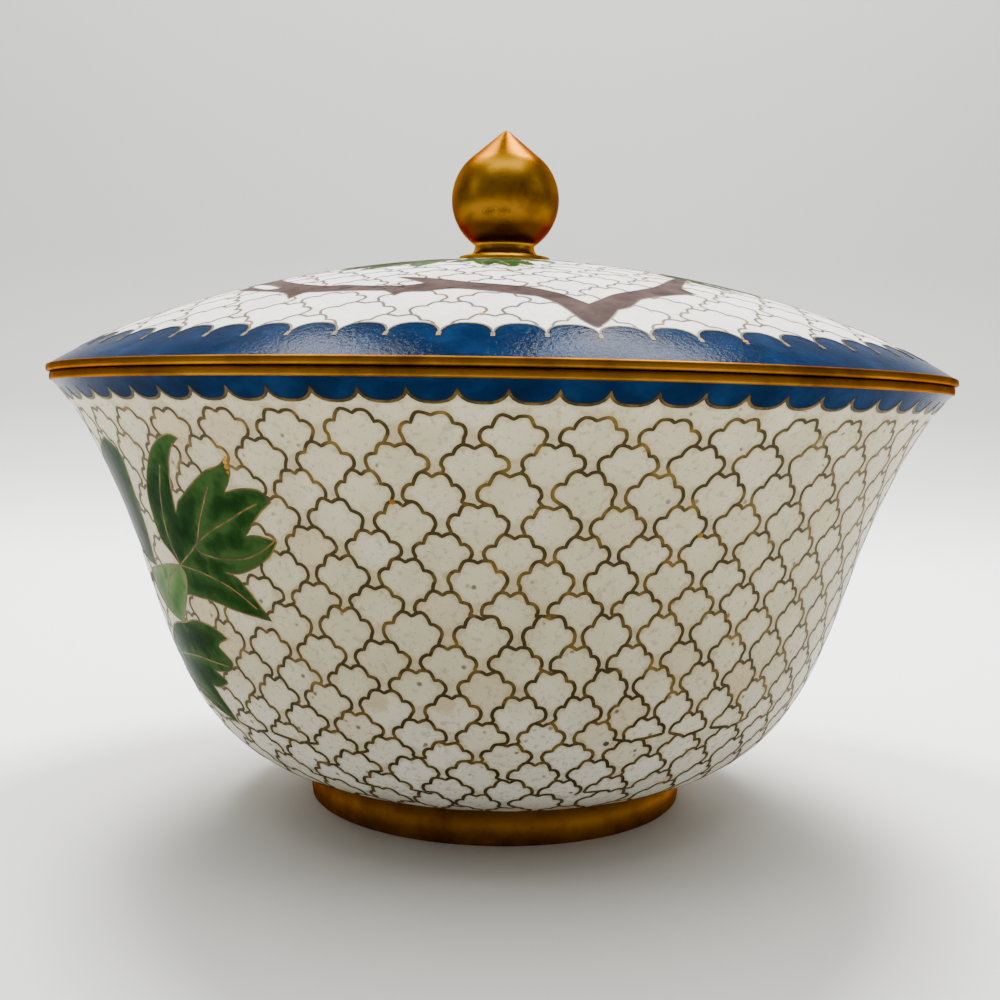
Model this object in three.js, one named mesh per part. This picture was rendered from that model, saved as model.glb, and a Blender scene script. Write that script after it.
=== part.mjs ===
// Covered bowl in cloisonné enamel: a hollow enamelled copper bowl on a brass foot ring, and a
// hollow domed lid with a pointed knob, which lifts off.
// Millimetres, +Z up. The origin is the centre of the foot ring's underside.
import * as THREE from 'three';

// Bowl
const RIM_RADIUS = 62.5;
const RIM_HEIGHT = 59.75;
const WAIST_RADIUS = 50.8;
const WAIST_HEIGHT = 36;
const BOWL_WALL = 1.8;
const BASE_ANGLE = 15.5;
const WAIST_ANGLE = 73;
const LIP_ANGLE = 41;

// Foot ring, which narrows towards the floor
const FOOT_HEIGHT = 4.8;
const FOOT_TOP_RADIUS = 27.5;
const FOOT_BOTTOM_RADIUS = 27;
const FOOT_WALL = 2.2;

// Gilt bands round both rims
const BAND_DEPTH = 1.05;
const BAND_PROUD = 0.25;
const BAND_ROUNDING = 0.3;

// Lid
const LID_OVERHANG = 0.4;
const LID_RISE = 17.05;
const LID_WALL = 1.8;
const CROWN_ANGLE = 1.4;
const EAVE_ANGLE = 32.8;
const FLANGE_DEPTH = 2.6;
const FLANGE_WALL = 1.2;
const FLANGE_CLEARANCE = 0.5;

// Knob, measured up from the seat where it stands on the lid
const KNOB_BASE_RADIUS = 6.6;
const KNOB_BASE_EDGE = 1.2;
const KNOB_NECK_RADIUS = 4.3;
const KNOB_NECK_HEIGHT = 3;
const KNOB_BALL_RADIUS = 7.8;
const KNOB_POINT_HEIGHT = 10.2;
const KNOB_TIP_RADIUS = 0.7;

// Shape of the curves: how far each end keeps its direction, as a share of the curve's chord
const BOWL_FULLNESS = [0.39, 0.455];
const LIP_FULLNESS = [0.21, 0.25];
const DOME_FULLNESS = [0.21, 0.35];

// Fineness of the facets
const BODY_SIDES = 56;
const KNOB_SIDES = 32;
const BOWL_STEPS = 8;
const LIP_STEPS = 6;
const DOME_STEPS = 10;
const BAND_STEPS = 2;
const COVE_STEPS = 4;
const BALL_STEPS = 10;
const TIP_STEPS = 2;

const enamelWhite = { color: 0xd8d4c8, roughness: 0.3, metalness: 0 };
const giltBrass = { color: 0xb98a3a, roughness: 0.35, metalness: 0.9 };

const point = (radius, height) => new THREE.Vector2(radius, height);
const radians = THREE.MathUtils.degToRad;

// A smooth curve between two points, leaving and arriving at the given angles above the horizontal
function bend(start, startAngle, end, endAngle, fullness, steps) {
  const chord = start.distanceTo(end);
  const along = (angle, share) =>
    point(Math.cos(radians(angle)), Math.sin(radians(angle))).multiplyScalar(chord * share);
  const leave = start.clone().add(along(startAngle, fullness[0]));
  const arrive = end.clone().sub(along(endAngle, fullness[1]));
  return new THREE.CubicBezierCurve(start, leave, arrive, end).getPoints(steps);
}

// Points on a circle centred on the axis or beside it, angles measured up from the horizontal
function arc(centre, radius, startAngle, endAngle, steps) {
  return Array.from({ length: steps + 1 }, (_, i) => {
    const angle = startAngle + ((endAngle - startAngle) * i) / steps;
    return point(centre.x + radius * Math.cos(angle), centre.y + radius * Math.sin(angle));
  });
}

// The same line moved sideways by the wall's thickness, with its corners mitred
function offset(line, distance) {
  const sideways = (from, to) => {
    const along = to.clone().sub(from).normalize();
    return point(-along.y, along.x);
  };
  return line.map((at, i) => {
    const before = sideways(line[Math.max(i - 1, 0)], line[Math.max(i, 1)]);
    const after = sideways(line[Math.min(i, line.length - 2)], line[Math.min(i + 1, line.length - 1)]);
    const mitre = before.clone().add(after).divideScalar(1 + before.dot(after));
    return at.clone().add(mitre.multiplyScalar(distance));
  });
}

// The radius where a line that runs outward from the axis crosses a height
function radiusAt(line, height) {
  const i = line.findIndex((at, k) => k > 0 && (at.y - height) * (line[k - 1].y - height) <= 0
    && at.y !== line[k - 1].y);
  const [from, to] = [line[i - 1], line[i]];
  return from.x + ((to.x - from.x) * (height - from.y)) / (to.y - from.y);
}

// The part of a line, from the axis outward, that is on one side of a height, ending at that height
function cutAt(line, height, side) {
  const kept = line.filter((at) => (at.y - height) * side > 1e-6);
  return [...kept, point(radiusAt(line, height), height)];
}

// A closed solid of revolution: the profile runs anticlockwise round the section, axis to axis
function turned(name, profile, sides, material) {
  const geometry = new THREE.LatheGeometry(profile, sides);
  geometry.rotateX(Math.PI / 2);
  const mesh = new THREE.Mesh(geometry, new THREE.MeshStandardMaterial(material));
  mesh.name = name;
  return mesh;
}

// The rounded outer edge of a band, from its bottom to its top
function bandEdge(radius, bottom) {
  const low = arc(point(radius - BAND_ROUNDING, bottom + BAND_ROUNDING), BAND_ROUNDING,
    -Math.PI / 2, 0, BAND_STEPS);
  const high = arc(point(radius - BAND_ROUNDING, bottom + BAND_DEPTH - BAND_ROUNDING), BAND_ROUNDING,
    0, Math.PI / 2, BAND_STEPS);
  return [...low, ...high];
}

// Bowl: outside from the axis to the lip, inside one wall's thickness away
const bowlTop = RIM_HEIGHT - BAND_DEPTH;
const waist = point(WAIST_RADIUS, WAIST_HEIGHT);
const bowlOutside = [
  point(0, FOOT_HEIGHT),
  ...bend(point(FOOT_TOP_RADIUS, FOOT_HEIGHT), BASE_ANGLE, waist, WAIST_ANGLE, BOWL_FULLNESS, BOWL_STEPS),
  ...bend(waist, WAIST_ANGLE, point(RIM_RADIUS - BAND_PROUD, bowlTop), LIP_ANGLE,
    LIP_FULLNESS, LIP_STEPS).slice(1),
];
const bowlInside = cutAt(offset(bowlOutside, BOWL_WALL), bowlTop, -1);
const mouthRadius = bowlInside.at(-1).x;

const bowlBody = () =>
  turned('bowl_body', [...bowlOutside, ...bowlInside.toReversed()], BODY_SIDES, enamelWhite);

function bowlRim() {
  const profile = [
    point(mouthRadius, bowlTop),
    ...bandEdge(RIM_RADIUS, bowlTop),
    point(mouthRadius, RIM_HEIGHT),
    point(mouthRadius, bowlTop),
  ];
  return turned('bowl_rim', profile, BODY_SIDES, giltBrass);
}

function footRing() {
  const profile = [
    point(FOOT_BOTTOM_RADIUS - FOOT_WALL, 0),
    point(FOOT_BOTTOM_RADIUS, 0),
    point(FOOT_TOP_RADIUS, FOOT_HEIGHT),
    point(FOOT_TOP_RADIUS - FOOT_WALL, FOOT_HEIGHT),
    point(FOOT_BOTTOM_RADIUS - FOOT_WALL, 0),
  ];
  return turned('foot_ring', profile, BODY_SIDES, giltBrass);
}

// Lid: its flange hangs inside the bowl's mouth, clear of the wall at the flange's lower edge
const lidRadius = RIM_RADIUS + LID_OVERHANG;
const lidFoot = RIM_HEIGHT + BAND_DEPTH;
const knobSeat = RIM_HEIGHT + LID_RISE;
const flangeBottom = RIM_HEIGHT - FLANGE_DEPTH;
const flangeRadius = radiusAt(bowlInside, flangeBottom) - FLANGE_CLEARANCE;
const domeOutside = [
  point(0, knobSeat),
  ...bend(point(KNOB_BASE_RADIUS, knobSeat), -CROWN_ANGLE, point(lidRadius - BAND_PROUD, lidFoot),
    -EAVE_ANGLE, DOME_FULLNESS, DOME_STEPS),
];
const domeInside = cutAt(offset(domeOutside, -LID_WALL), lidFoot, 1);

const lidShell = () =>
  turned('lid_shell', [...domeInside, ...domeOutside.toReversed()], BODY_SIDES, enamelWhite);

function lidRim() {
  const profile = [
    point(flangeRadius - FLANGE_WALL, flangeBottom),
    point(flangeRadius, flangeBottom),
    point(flangeRadius, RIM_HEIGHT),
    ...bandEdge(lidRadius, RIM_HEIGHT),
    point(flangeRadius - FLANGE_WALL, lidFoot),
    point(flangeRadius - FLANGE_WALL, flangeBottom),
  ];
  return turned('lid_rim', profile, BODY_SIDES, giltBrass);
}

// Knob: a spread base, a waisted neck and a ball drawn up into a point
function finial() {
  const neck = point(KNOB_NECK_RADIUS, knobSeat + KNOB_NECK_HEIGHT);
  const baseEdge = point(KNOB_BASE_RADIUS, knobSeat + KNOB_BASE_EDGE);
  const cove = new THREE.QuadraticBezierCurve(baseEdge, point(neck.x, baseEdge.y), neck);
  const ballStart = -Math.acos(KNOB_NECK_RADIUS / KNOB_BALL_RADIUS);
  const ballCentre = point(0, neck.y - KNOB_BALL_RADIUS * Math.sin(ballStart));
  const pointAngle = Math.asin(KNOB_BALL_RADIUS / KNOB_POINT_HEIGHT);
  const tipCentre = point(0, ballCentre.y + KNOB_POINT_HEIGHT * (1 - KNOB_TIP_RADIUS / KNOB_BALL_RADIUS));
  const profile = [
    point(0, knobSeat),
    point(KNOB_BASE_RADIUS, knobSeat),
    ...cove.getPoints(COVE_STEPS),
    ...arc(ballCentre, KNOB_BALL_RADIUS, ballStart, pointAngle, BALL_STEPS).slice(1),
    ...arc(tipCentre, KNOB_TIP_RADIUS, pointAngle, Math.PI / 2, TIP_STEPS),
  ];
  return turned('finial', profile, KNOB_SIDES, giltBrass);
}

const bowl = new THREE.Group();
bowl.add(footRing(), bowlBody(), bowlRim());

const lid = new THREE.Group();
lid.add(lidRim(), lidShell(), finial());

const coveredBowl = new THREE.Group();
coveredBowl.add(bowl, lid);

export default coveredBowl;
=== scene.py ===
"""Looks of a covered cloisonné bowl: enamel cells and gilt wires on turned shells, brass trim and knob.

Lengths are in millimetres until a mesh is made. A decorated surface is unrolled into a flat drawing:
u runs round it from the front, towards +X, as the angle times UNROLL_RADIUS, and s runs along its profile
from the rim.
"""
import math
import random

import bpy
import numpy as np
from mathutils import Matrix, Vector, kdtree
from mathutils.geometry import delaunay_2d_cdt


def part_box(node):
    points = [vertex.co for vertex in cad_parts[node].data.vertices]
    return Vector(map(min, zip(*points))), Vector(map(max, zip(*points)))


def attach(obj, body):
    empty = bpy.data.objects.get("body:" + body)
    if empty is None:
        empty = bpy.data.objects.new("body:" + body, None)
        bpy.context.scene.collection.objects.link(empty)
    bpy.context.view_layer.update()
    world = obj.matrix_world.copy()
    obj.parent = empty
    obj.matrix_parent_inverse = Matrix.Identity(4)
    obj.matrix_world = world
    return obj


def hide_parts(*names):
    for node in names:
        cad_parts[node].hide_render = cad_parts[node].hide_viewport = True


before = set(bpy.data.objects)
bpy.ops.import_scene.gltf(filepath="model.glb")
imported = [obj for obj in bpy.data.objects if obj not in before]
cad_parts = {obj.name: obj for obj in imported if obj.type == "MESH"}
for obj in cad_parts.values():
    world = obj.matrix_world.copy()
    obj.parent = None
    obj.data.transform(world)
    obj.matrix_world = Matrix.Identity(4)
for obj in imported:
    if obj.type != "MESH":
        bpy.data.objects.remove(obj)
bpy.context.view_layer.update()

MM = 0.001

# Camera, as fitted to the photograph
PHOTO_SIZE = 1000
SENSOR_WIDTH = 36
CAMERA_LENS = 44.28
CAMERA_DISTANCE = 181.3
CAMERA_HEIGHT = 55.1
CAMERA_PITCH = 3.91
CAMERA_ROLL = 1.03

# Where a line of sight is tested, measured out from the camera
SIGHT_STEPS = np.linspace(0.5, 1.05, 1600) * CAMERA_DISTANCE

# Sizes read from the solids
FOOT_TOP_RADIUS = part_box("foot_ring")[1][0] / MM
FOOT_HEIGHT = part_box("foot_ring")[1][2] / MM
BOWL_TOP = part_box("bowl_body")[1][2] / MM
BOWL_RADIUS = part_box("bowl_body")[1][0] / MM
RIM_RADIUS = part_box("bowl_rim")[1][0] / MM
RIM_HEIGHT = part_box("bowl_rim")[1][2] / MM
LID_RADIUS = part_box("lid_rim")[1][0] / MM
LID_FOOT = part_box("lid_rim")[1][2] / MM
FLANGE_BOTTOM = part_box("lid_rim")[0][2] / MM
DOME_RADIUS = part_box("lid_shell")[1][0] / MM
KNOB_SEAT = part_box("finial")[0][2] / MM

# Sizes and curve shapes that are the same as the solids' own
FOOT_BOTTOM_RADIUS = 27
FOOT_WALL = 2.2
FOOT_EDGE = 0.2
WAIST = (50.8, 36)
WALL = 1.8
BASE_ANGLE = 15.5
WAIST_ANGLE = 73
LIP_ANGLE = 41
CROWN_ANGLE = 1.4
EAVE_ANGLE = 32.8
BOWL_FULLNESS = (0.39, 0.455)
LIP_FULLNESS = (0.21, 0.25)
DOME_FULLNESS = (0.21, 0.35)
BAND_ROUNDING = 0.3
FLANGE_WALL = 1.2
FLANGE_CLEARANCE = 0.5
KNOB_BASE_RADIUS = 6.6
KNOB_BASE_EDGE = 1.2
KNOB_NECK_RADIUS = 4.3
KNOB_NECK_HEIGHT = 3
KNOB_BALL_RADIUS = 7.8
KNOB_POINT_HEIGHT = 10.2
KNOB_TIP_RADIUS = 0.7

# Drawing
UNROLL_RADIUS = 50
HALF_TURN = math.pi * UNROLL_RADIUS
FULL_TURN = 2 * HALF_TURN
TURNS = (-FULL_TURN, 0, FULL_TURN)
GROUND, BLUE, LEAF, BRANCH, PLAIN, BUD = range(6)

# Meshes
BOWL_STEPS = 60
LIP_STEPS = 40
DOME_STEPS = 80
GRID_STEP = 1.15
GRID_SHAKE = 0.2
FEWEST_IN_RING = 24
RING_POINTS = 360
KNOB_POINTS = 96
WIRE_PROUD = 0.025
WIRE_DEPTH = 0.1
WIRE_FLAT_SHARE = 0.72
BLOB_SIDES = 8
BLOB_LEVELS = ((-WIRE_DEPTH, 1.0), (0.04, 0.95), (0.09, 0.6))
BLOB_METAL = 2
CELL_DIP = 0.05
CELL_DIP_REACH = 0.6
AWAY_FROM_WIRES = 2.0


def rotation(axis, degrees):
    return Matrix.Rotation(math.radians(degrees), 3, axis)


CAMERA_TURN = rotation("X", 90 - CAMERA_PITCH) @ rotation("Z", CAMERA_ROLL)
CAMERA_PLACE = Vector((0, -CAMERA_DISTANCE, CAMERA_HEIGHT))


def new_object(name, data):
    made = bpy.data.objects.new(name, data)
    bpy.context.collection.objects.link(made)
    return made


def make_camera():
    data = bpy.data.cameras.new("camera")
    data.lens = CAMERA_LENS
    data.sensor_width = SENSOR_WIDTH
    camera = new_object("camera", data)
    camera.matrix_world = Matrix.Translation(CAMERA_PLACE * MM) @ CAMERA_TURN.to_4x4()
    bpy.context.scene.camera = camera


# Profiles, as points of radius and height
def bend(start, start_angle, end, end_angle, fullness, steps):
    """A smooth curve that leaves and arrives at the given angles above the horizontal."""
    start, end = np.array(start, float), np.array(end, float)
    chord = np.linalg.norm(end - start)

    def along(angle, share):
        return np.array((math.cos(math.radians(angle)), math.sin(math.radians(angle)))) * chord * share

    leave = start + along(start_angle, fullness[0])
    arrive = end - along(end_angle, fullness[1])
    t = np.linspace(0, 1, steps + 1)[:, None]
    left = 1 - t
    return left ** 3 * start + 3 * left ** 2 * t * leave + 3 * left * t * t * arrive + t ** 3 * end


def arc(centre, radius, start, end, steps):
    angles = np.linspace(start, end, steps + 1)
    return np.c_[centre[0] + radius * np.cos(angles), centre[1] + radius * np.sin(angles)]


def unit(rows):
    return rows / np.maximum(np.linalg.norm(rows, axis=1), 1e-9)[:, None]


def offset(line, distance):
    """The line moved sideways, to the left of its direction."""
    along = unit(np.gradient(line, axis=0))
    return line + distance * np.c_[-along[:, 1], along[:, 0]]


def around(radius, turn, height):
    """Points in space, at a turn from the front towards +X."""
    return np.c_[radius * np.sin(turn), -radius * np.cos(turn), height]


def below(line, height):
    """The part of a line that runs up, up to a height."""
    kept = line[line[:, 1] < height]
    return np.vstack((kept, (np.interp(height, line[:, 1], line[:, 0]), height)))


BOWL_LINE = np.vstack((
    bend((FOOT_TOP_RADIUS, FOOT_HEIGHT), BASE_ANGLE, WAIST, WAIST_ANGLE, BOWL_FULLNESS,
         BOWL_STEPS),
    bend(WAIST, WAIST_ANGLE, (BOWL_RADIUS, BOWL_TOP), LIP_ANGLE, LIP_FULLNESS, LIP_STEPS)[1:]))
DOME_LINE = bend((DOME_RADIUS, LID_FOOT), 180 - EAVE_ANGLE, (KNOB_BASE_RADIUS, KNOB_SEAT),
                 180 - CROWN_ANGLE, DOME_FULLNESS[::-1], DOME_STEPS)
BOWL_INSIDE = below(offset(BOWL_LINE, WALL), BOWL_TOP)
DOME_INSIDE = offset(DOME_LINE, WALL)
MOUTH_RADIUS = BOWL_INSIDE[-1][0]
FLANGE_RADIUS = np.interp(FLANGE_BOTTOM, BOWL_INSIDE[:, 1], BOWL_INSIDE[:, 0]) - FLANGE_CLEARANCE


class Skin:
    """The outer surface of a turned shell, which the drawing is laid on."""

    def __init__(self, line, outward):
        self.line = line
        self.along = np.r_[0, np.cumsum(np.hypot(*np.diff(line, axis=0).T))]
        self.length = self.along[-1]
        tangent = unit(np.gradient(line, axis=0))
        self.normal = outward * np.c_[tangent[:, 1], -tangent[:, 0]]
        upwards = np.argsort(line[:, 1])
        self.radii, self.heights = line[upwards].T
        self.along_by_height = self.along[upwards]

    def radius(self, s):
        return np.interp(s, self.along, self.line[:, 0])

    def place(self, drawing):
        """Points in space, and their normals, for points of the drawing."""
        turn, s = drawing[:, 0] / UNROLL_RADIUS, drawing[:, 1]
        height, out, up = (np.interp(s, self.along, part) for part in (self.line[:, 1], *self.normal.T))
        out, up = unit(np.c_[out, up]).T
        return around(self.radius(s), turn, height), around(out, turn, up)

    def from_photo(self, pixels):
        """Points of the drawing seen at pixels of the photograph, or nearest to them at the outline."""
        drawing = []
        focal = CAMERA_LENS / SENSOR_WIDTH * PHOTO_SIZE
        for x, y in pixels:
            ray = CAMERA_TURN @ Vector(((x - PHOTO_SIZE / 2) / focal, (PHOTO_SIZE / 2 - y) / focal, -1))
            path = np.array(CAMERA_PLACE) + SIGHT_STEPS[:, None] * np.array(ray)
            gap = np.hypot(path[:, 0], path[:, 1]) - np.interp(path[:, 2], self.heights, self.radii)
            hit = (gap <= 0) & (path[:, 2] > self.heights[0]) & (path[:, 2] < self.heights[-1])
            spot = path[np.argmax(hit) if hit.any() else np.argmin(np.abs(gap))]
            s = np.interp(spot[2], self.heights, self.along_by_height)
            drawing.append((math.atan2(spot[0], -spot[1]) * UNROLL_RADIUS, s))
        return np.array(drawing)


# Shapes in the drawing
def smooth(points, parts=3):
    """A rounded line through the points."""
    points = np.array(points, float)
    padded = np.vstack((2 * points[0] - points[1], points, 2 * points[-1] - points[-2]))
    t = np.linspace(0, 1, parts, endpoint=False)[:, None]
    out = []
    for a, b, c, d in zip(padded, padded[1:], padded[2:], padded[3:]):
        out.append(0.5 * (2 * b + (c - a) * t + (2 * a - 5 * b + 4 * c - d) * t ** 2
                          + (3 * b - 3 * c + d - a) * t ** 3))
    return np.vstack(out + [points[-1]])


def joined(*lines):
    return np.vstack([lines[0]] + [line[1:] for line in lines[1:]])


def inside(polygon, points):
    """Which points lie in a closed outline."""
    x, y = points[:, 0][:, None], points[:, 1][:, None]
    a, b = polygon, np.roll(polygon, -1, axis=0)
    crosses = (a[:, 1] > y) != (b[:, 1] > y)
    rise = np.where(b[:, 1] == a[:, 1], 1e-12, b[:, 1] - a[:, 1])
    at = a[:, 0] + (y - a[:, 1]) * (b[:, 0] - a[:, 0]) / rise
    return (crosses & (x < at)).sum(1) % 2 == 1


def kinds_at(points, regions):
    """The kind of the last region that each point lies in, or -1 where there is none."""
    kinds = np.full(len(points), -1)
    for kind, outline in regions:
        near = np.flatnonzero(((points >= outline.min(0)) & (points <= outline.max(0))).all(1))
        if len(near):
            kinds[near[inside(outline, points[near])]] = kind
    return kinds


def short_way(distance):
    """A distance round the skin, measured the shorter way."""
    return (distance + HALF_TURN) % FULL_TURN - HALF_TURN


def wrapped(points):
    """The same points, each moved by full turns to lie within half a turn of the front."""
    moved = np.array(points, float)
    moved[:, 0] = short_way(moved[:, 0])
    return moved


def in_view(line):
    """Whether part of a line lies within half a turn of the front."""
    return line[:, 0].max() > -HALF_TURN and line[:, 0].min() < HALF_TURN


def hidden_by(regions, points):
    return kinds_at(wrapped(points), regions) >= 0


def crossing(clear, hidden, regions):
    """Where a line passes under a region, between a clear point and a hidden one."""
    for _ in range(8):
        middle = (clear + hidden) / 2
        if hidden_by(regions, middle[None])[0]:
            hidden = middle
        else:
            clear = middle
    return hidden


def clipped(line, regions):
    """The runs of a line that no region hides, each drawn up to the region's edge."""
    hidden = hidden_by(regions, line)
    if not hidden.any():
        return [line]
    runs = [[]]
    for i, point in enumerate(line):
        if i and hidden[i] != hidden[i - 1]:
            pair = (point, line[i - 1]) if hidden[i - 1] else (line[i - 1], point)
            runs[-1].append(crossing(*pair, regions))
        if not hidden[i]:
            runs[-1].append(point)
        elif runs[-1]:
            runs.append([])
    return [np.array(run) for run in runs if len(run) > 1]


class Drawing:
    """Wires, coloured regions and beads of solder laid on one skin."""

    def __init__(self, skin):
        self.skin = skin
        self.regions = []
        self.wires = []
        self.blobs = []

    def region(self, kind, outline):
        """A coloured region edged with a wire, which hides what was laid under it before."""
        outline = outline - (FULL_TURN * round(outline[:, 0].mean() / FULL_TURN), 0)
        new = [(kind, outline + (shift, 0)) for shift in TURNS if in_view(outline + (shift, 0))]
        self.regions.extend(new)
        self.wires = [(old_kind, run) for old_kind, wire in self.wires for run in clipped(wire, new)]
        self.wires.append((kind, np.vstack((outline, outline[0]))))

    def lay_under(self, line):
        """Lays a wire of the ground, cut where a region hides it; scraps are left out."""
        for run in clipped(line, self.regions):
            if len(run) == len(line) or np.hypot(*np.diff(run, axis=0).T).sum() > SHORTEST_RUN:
                self.wires.append((GROUND, run))

    def lay_over(self, kind, line):
        self.wires.append((kind, line))


# Half a scale of the ground, in shares of its width and of the depth of its row
TOP_BUMP = ((0, 0), (0.055, -0.08), (0.138, -0.12), (0.2, -0.05), (0.24, 0.1), (0.265, 0.27))
SHOULDER = ((0.265, 0.27), (0.32, 0.27), (0.38, 0.35), (0.416, 0.49), (0.421, 0.63), (0.395, 0.77))
BUMP_TOP = 2
SIDE_END = (0.355, 0.88)

# How unevenly the scales are drawn, in the same shares
HAND_SHAKE = (0.006, 0.012)
PLACE_SHAKE = 0.008
LEAN_SHAKE = 0.018
SIZE_SHAKE = (0.012, 0.03)
ROW_SWAY = 0.05
ROW_SHAKE = 0.02
ROW_SWAY_LENGTH = 19

# How rows are fitted to each other and to places seen, and where the ground's wires end
LANDING_REACH = 0.42
LANDING_DEPTH_WEIGHT = 1.3
PULL_REACH = 14
EVEN_OUT_ROUNDS = 30
SHORTEST_RUN = 1.6
BLOB_CHANCE = 0.04
BLOB_SIZE = 0.34


def neighbours(row):
    """For each place in a row, those to its left and right."""
    left, right = np.roll(row, 1), np.roll(row, -1)
    left[0] -= FULL_TURN
    right[-1] += FULL_TURN
    return left, right


def next_row(row, merges):
    """Places of the scales between those of a row; at each merge two of them become one."""
    between = (row + np.roll(row, -1)) / 2
    between[-1] += HALF_TURN
    for place in merges:
        k = int(np.argmin(abs(short_way(between - place))))
        after = (k + 1) % len(between)
        ahead = between[after] + (FULL_TURN if after == 0 else 0)
        between[k] = (between[k] + ahead) / 2
        between = np.delete(between, after)
    between = np.sort(between)
    for _ in range(EVEN_OUT_ROUNDS if len(merges) else 0):
        left, right = neighbours(between)
        between = between / 2 + (left + right) / 4
    return between


def pulled(row, place):
    """The row with the scale nearest to a place drawn onto it, and its neighbours less and less."""
    away = short_way(place - row)
    k = np.argmin(abs(away))
    return row + away[k] * np.exp(-(short_way(row - row[k]) / PULL_REACH) ** 2)


def lay_scales(drawing, rows, ends, rng):
    """Overlapping rows of scales, given as pairs of s and the places in the row.

    ends: the points where the last row lands.
    """
    laid = []
    for (s, places), (below_s, _) in zip(rows, rows[1:] + [(2 * rows[-1][0] - rows[-2][0], None)]):
        depth = below_s - s
        left, right = neighbours(places)
        wave = rng.uniform(0, math.tau)
        row = []
        for u, width in zip(places, (right - left) / 2):
            sway = ROW_SWAY * math.sin(u / ROW_SWAY_LENGTH + wave) + rng.gauss(0, ROW_SHAKE)
            middle = np.array((u + rng.gauss(0, PLACE_SHAKE) * width, s + sway * depth))
            lean = rng.gauss(0, LEAN_SHAKE)
            size = np.array((width * rng.gauss(1, SIZE_SHAKE[0]), depth * rng.gauss(1, SIZE_SHAKE[1])))

            def spot(x, y, middle=middle, lean=lean, size=size):
                shaken = x * (1 + rng.gauss(0, HAND_SHAKE[0]))
                return middle + size * (shaken, y + lean * x + rng.gauss(0, HAND_SHAKE[1]))

            notch = spot(*TOP_BUMP[0])
            tops = {side: [notch] + [spot(side * x, y) for x, y in TOP_BUMP[1:]] for side in (-1, 1)}
            row.append((size[0], tops, spot))
        laid.append(row)
    for row, below_row in zip(laid, laid[1:] + [[]]):
        landing = [tops[side][BUMP_TOP] for _, tops, _ in below_row for side in (-1, 1)] or ends
        for width, tops, spot in row:
            sides = {}
            crown = smooth(tops[-1][::-1] + tops[1][1:], 2)
            for side in (-1, 1):
                end = spot(side * SIDE_END[0], SIDE_END[1])
                if len(landing):
                    away = wrapped(landing - end)
                    nearest = np.argmin(np.hypot(away[:, 0], away[:, 1] * LANDING_DEPTH_WEIGHT))
                    if abs(away[nearest, 0]) < LANDING_REACH * width:
                        end = end + away[nearest]
                shoulder = [tops[side][-1]] + [spot(side * x, y) for x, y in SHOULDER[1:]]
                sides[side] = smooth(shoulder + [end], 2)
            drawing.lay_under(joined(sides[-1][::-1], crown, sides[1]))
            if rng.random() < BLOB_CHANCE:
                drawing.blobs.append((sides[1][-1], BLOB_SIZE))


# The blue borders: how many lobes, the depths of their notches and tips, and the length of the wedges there
BOWL_BORDER = (76, 1.5, 3.2, 0)
LID_BORDER = (68, 4.9, 7.4, 0.7)
WEDGE_START = 0.2
LOBE_SHARES = (0, 0.035, 0.1, 0.2, 0.34, 0.5, 0.66, 0.8, 0.9, 0.965)
LOBE_CURVE = (2.5, 0.52)
BORDER_OVERRUN = 5


def lay_border(drawing, border, first):
    """The border along the rim, its lobes reaching from the notches to the tips; first: a notch's place."""
    count, notch, tip, wedge = border
    pitch = FULL_TURN / count
    start = -math.ceil((HALF_TURN + first) / pitch) - 1
    edge, notches = [], []
    for i in range(start, start + count + 3):
        notches.append((first + i * pitch, notch))
        for share in LOBE_SHARES:
            reach = (1 - abs(2 * share - 1) ** LOBE_CURVE[0]) ** LOBE_CURVE[1] if share else 0
            edge.append((first + (i + share) * pitch, notch + (tip - notch) * reach))
    edge = np.array(edge)
    outline = np.vstack(((edge[0, 0], -BORDER_OVERRUN), edge, (edge[-1, 0], -BORDER_OVERRUN)))
    drawing.regions.append((BLUE, outline))
    drawing.lay_over(BLUE, edge)
    for u, s in notches if wedge else ():
        drawing.lay_over(PLAIN, np.array(((u, s + WEDGE_START), (u, s - wedge))))
    return np.array(notches)


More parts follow.
